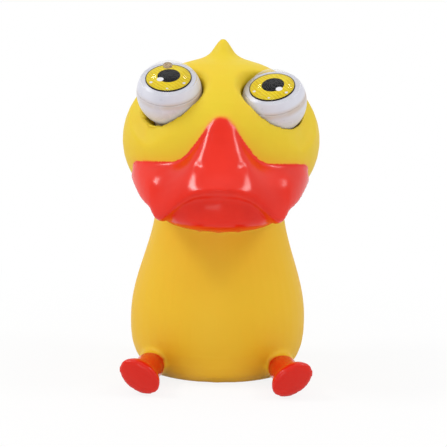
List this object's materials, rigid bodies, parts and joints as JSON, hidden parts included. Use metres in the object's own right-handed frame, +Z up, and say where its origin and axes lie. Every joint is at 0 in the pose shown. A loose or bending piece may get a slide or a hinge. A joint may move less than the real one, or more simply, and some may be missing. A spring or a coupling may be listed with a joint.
{
  "type": "squeeze toy",
  "caption": "Hollow soft vinyl duck squeeze toy with a broad red bill and feet; pressing the body pushes its ball eyes out of their sockets on elastic sleeves.",
  "frame": {"origin": "middle of the object's footprint, on the table plane under the flat base", "axes": "+Z up, the bill points along -Y, +X to the right as seen from the front"},
  "size_m": [0.0626, 0.0706, 0.1061],
  "materials": {
    "soft_vinyl": "satin yellow vinyl; bill and feet sprayed gloss red",
    "plug_vinyl": "satin yellow vinyl",
    "sleeve_rubber": "matte cream rubber",
    "eye_white": "gloss white plastic",
    "printed_iris": "yellow print with a black outline and pupil",
    "clear_dome": "clear polished plastic"
  },
  "bodies": {
    "duck": {"body_skin": "soft_vinyl", "base_plug": "plug_vinyl", "left_eye_sleeve": "sleeve_rubber", "right_eye_sleeve": "sleeve_rubber"},
    "left_eye": {"left_eye_rear_cup": "eye_white", "left_eye_front_cup": "eye_white", "left_iris_disc": "printed_iris", "left_eye_dome": "clear_dome"},
    "right_eye": {"right_eye_rear_cup": "eye_white", "right_eye_front_cup": "eye_white", "right_iris_disc": "printed_iris", "right_eye_dome": "clear_dome"}
  },
  "joints": [
    {"name": "left_eye_pop", "type": "slide", "parent": "duck", "child": "left_eye", "axis": [0, -0.6157, 0.788], "range_m": [-0.0027, 0.0073], "stiffness_N_per_m": 120, "deforming": ["left_eye_sleeve"]},
    {"name": "right_eye_pop", "type": "slide", "parent": "duck", "child": "right_eye", "axis": [0, -0.6157, 0.788], "range_m": [0, 0.01], "stiffness_N_per_m": 120, "deforming": ["right_eye_sleeve"]}
  ]
}
